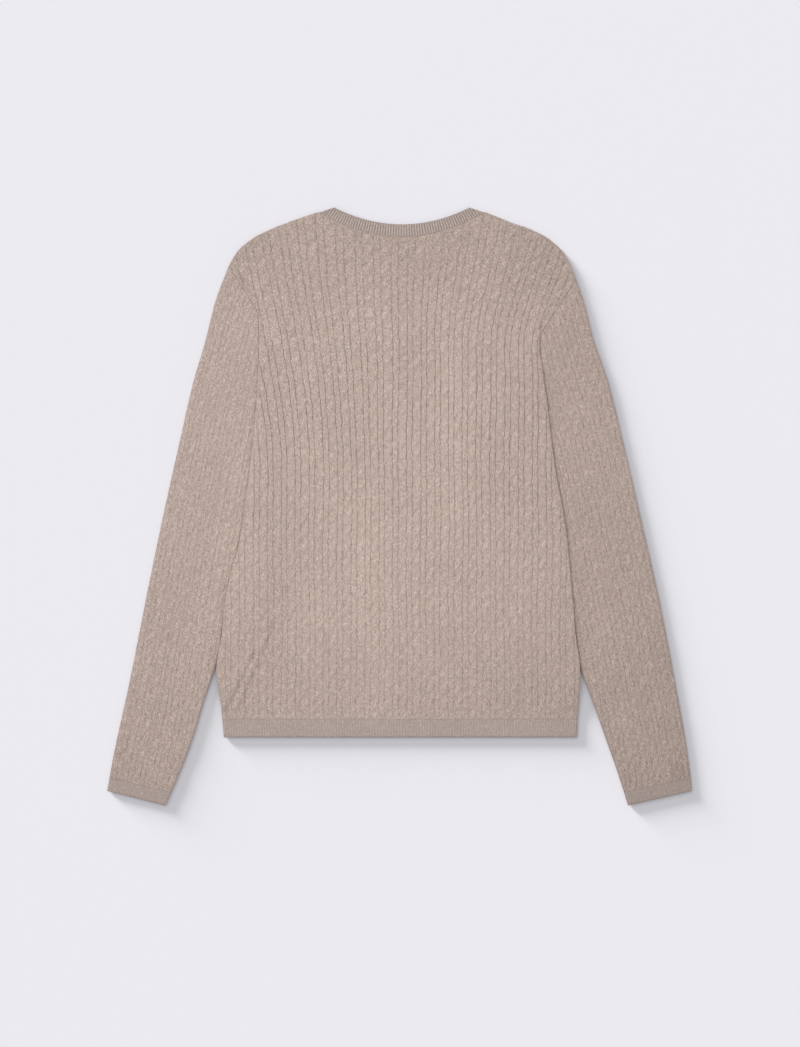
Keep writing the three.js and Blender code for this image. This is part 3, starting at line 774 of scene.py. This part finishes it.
def ring_shape(stations, width, upper_edges, under_edges, rise, linked, tone):
    """Edges give the seam's and the free edge's place at w, 0 to 1 from one fold to the other. rise
    is how far the ribs stand up, and a linked ring has a chain of linking stitches by its seam."""
    depth = min(1, rise / DEEP_RIB)

    def shape(s, t, layer):
        around = np.interp(s, np.linspace(0, 1, len(stations)), stations)
        w = np.where(around <= 1, around, 2 - around)
        upper = (around <= 1) | (w == 0)
        inside = layer < -0.5
        inset = WALL / width
        w = np.where(inside, inset + w * (1 - 2 * inset), w)
        xs = []
        for seam, free in (upper_edges, under_edges):
            a = seam(w)
            b = free(w)
            xs.append([a[k] + t * (b[k] - a[k]) for k in (0, 1)] + [np.hypot(b[0] - a[0], b[1] - a[1])])
        x, y, length = [np.where(upper, xs[0][k], xs[1][k]) for k in range(3)]
        side_room = np.minimum(w, 1 - w) * width
        room = np.minimum(side_room, np.minimum(t, 1 - t) * length)
        along = rib_place(x, t * length) if linked else w * width
        rib = np.abs(np.mod(along / RIB_PITCH, 1) - 0.5) * 2
        between = rib ** 2.6
        opened = 1 - between * depth
        fade = smooth_step((room - 0.2) / 1.6)
        height = rise * (1 - between)
        if linked:
            chain = np.exp(-((t * length - CHAIN_PLACE) / CHAIN_HALF) ** 2)
            height = height * (1 - chain) + CHAIN_RISE * chain
            opened = opened * (1 - chain) + 0.8 * chain
        free_drop = drop((1 - t) * length, FREE_EDGE_ROUND, FREE_EDGE_DROP)
        edge_drop = np.maximum(free_drop, drop(side_room, SIDE_FOLD_ROUND, FOLD))
        edge_drop = np.maximum(edge_drop, drop(t * length, 0.9, SEAM_DROP))
        high = TOP - edge_drop + height * fade
        low = edge_drop
        tube = np.clip((side_room - WALL) / WALL, 0, 1)
        lining = np.where(upper, FOLD + (UPPER - FOLD) * tube, FOLD + (WALL - FOLD) * tube)
        z = np.where(inside, lining, np.where(upper, high, low))
        # Painted light and shade: each rib's crest is painted lighter and the hollow between ribs
        # darker, in tone and in openness
        marks = {
            "openness": np.where(upper & ~inside, EDGE_OPENNESS * (1 - fade) + fade * opened, 1),
            "gutter": np.zeros_like(w),
            "crossing": np.zeros_like(w),
            "tone": tone * (1 + depth * fade * (0.5 * np.exp(-((rib / 0.5) ** 2)) - 0.1)),
        }
        return (x, y, z), along, t * length, marks

    return shape


def rib_place(x, above):
    """Where along the neck seam the rib starts that passes x at a height above the seam: the ribs
    stand square to the seam."""
    middle = (NECK_SEAM["left"] + NECK_SEAM["right"]) / 2
    bend = (NECK_SEAM["y"] - NECK["back"] + NECK["band"]) / (NECK_SEAM["right"] - middle) ** 2
    slope = 2 * bend * (x - middle)
    foot = x - middle + above * slope / np.sqrt(1 + slope ** 2)
    return foot * (1 + (2 * bend * foot) ** 2 / 6)


def rib_ring(node, width, upper_edges, under_edges, linked, tone):
    ribs = round(width / RIB_PITCH)
    edge = np.array([0, 0.08, 0.25, 0.55, 1.0, 1.5]) / width
    upper_middle = np.linspace(2 / width, 1 - 2 / width, ribs * 6)
    under_middle = np.linspace(2 / width, 1 - 2 / width, ribs // 2)
    upper = np.concatenate([edge, upper_middle, 1 - edge[::-1]])
    under = 1 + np.concatenate([edge[1:], under_middle, 1 - edge[::-1]])
    stations = np.concatenate([upper, under])
    made = cloth_grid(len(stations) - 1, RIB_ROWS, ring=True)
    shape = ring_shape(stations, width, upper_edges, under_edges, RIB_RISE[node], linked, tone)
    ring = knit_object(f"ribbed_{node}", made, shape)
    ring.data.materials.append(rib_yarn)
    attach(ring, "root")
    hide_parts(node)
    return ring


NECKBAND_WIDTH = 210.0
HEM_WIDTH = 449.0
CUFF_WIDTH = 82.0
RIB_TONE = {"neckband": 0.92, "hem_rib": 0.93}
# Painted shade: the cuffs are painted darker than their sleeves
CUFF_PAINTED_SHADE = 0.09


def neck_edges(ply):
    def seam(w):
        x = NECK_SEAM["left"] + w * (NECK_SEAM["right"] - NECK_SEAM["left"])
        low = NECK[ply] - NECK["band"]
        return x, neck_line(x, NECK_SEAM["left"], NECK_SEAM["right"], low, NECK_SEAM["y"])

    def free(w):
        x = NECK["left"] + w * (NECK["right"] - NECK["left"])
        return x, neck_line(x, NECK["left"], NECK["right"], NECK[ply], NECK["y"])

    return seam, free


def hem_edge(y):
    left = float(body_side("left", y))
    right = float(body_side("right", y))
    return lambda w: (left + w * (right - left), np.full_like(w, y))


def cuff_edge(side, rise):
    outer = np.array([curve(OUTLINE, SIDES[side], OUTER_CUFF_Y + rise), OUTER_CUFF_Y + rise])
    inner = np.array([curve(SLEEVE_INNER, SIDES[side], INNER_CUFF_Y + rise), INNER_CUFF_Y + rise])
    return lambda w: (outer[0] + w * (inner[0] - outer[0]), outer[1] + w * (inner[1] - outer[1]))


hem_edges = (hem_edge(HEM_SEAM_Y), hem_edge(HEM_Y))
ribs = [
    rib_ring("neckband", NECKBAND_WIDTH, neck_edges("back"), neck_edges("front"), True,
             RIB_TONE["neckband"]),
    rib_ring("hem_rib", HEM_WIDTH, hem_edges, hem_edges, False,
             RIB_TONE["hem_rib"]),
]
for side in ("left", "right"):
    cuff_edges = (cuff_edge(side, CUFF_RIB), cuff_edge(side, 0))
    ribs.append(rib_ring(f"cuff_{side}", CUFF_WIDTH, cuff_edges, cuff_edges, False,
                         SLEEVE_PAINTED_LIGHT[side] - CUFF_PAINTED_SHADE))

# The overhead lamp lights all pieces, now that they are there
for piece in (back, front, *sleeves.values(), *ribs):
    sweater_only.objects.link(piece)
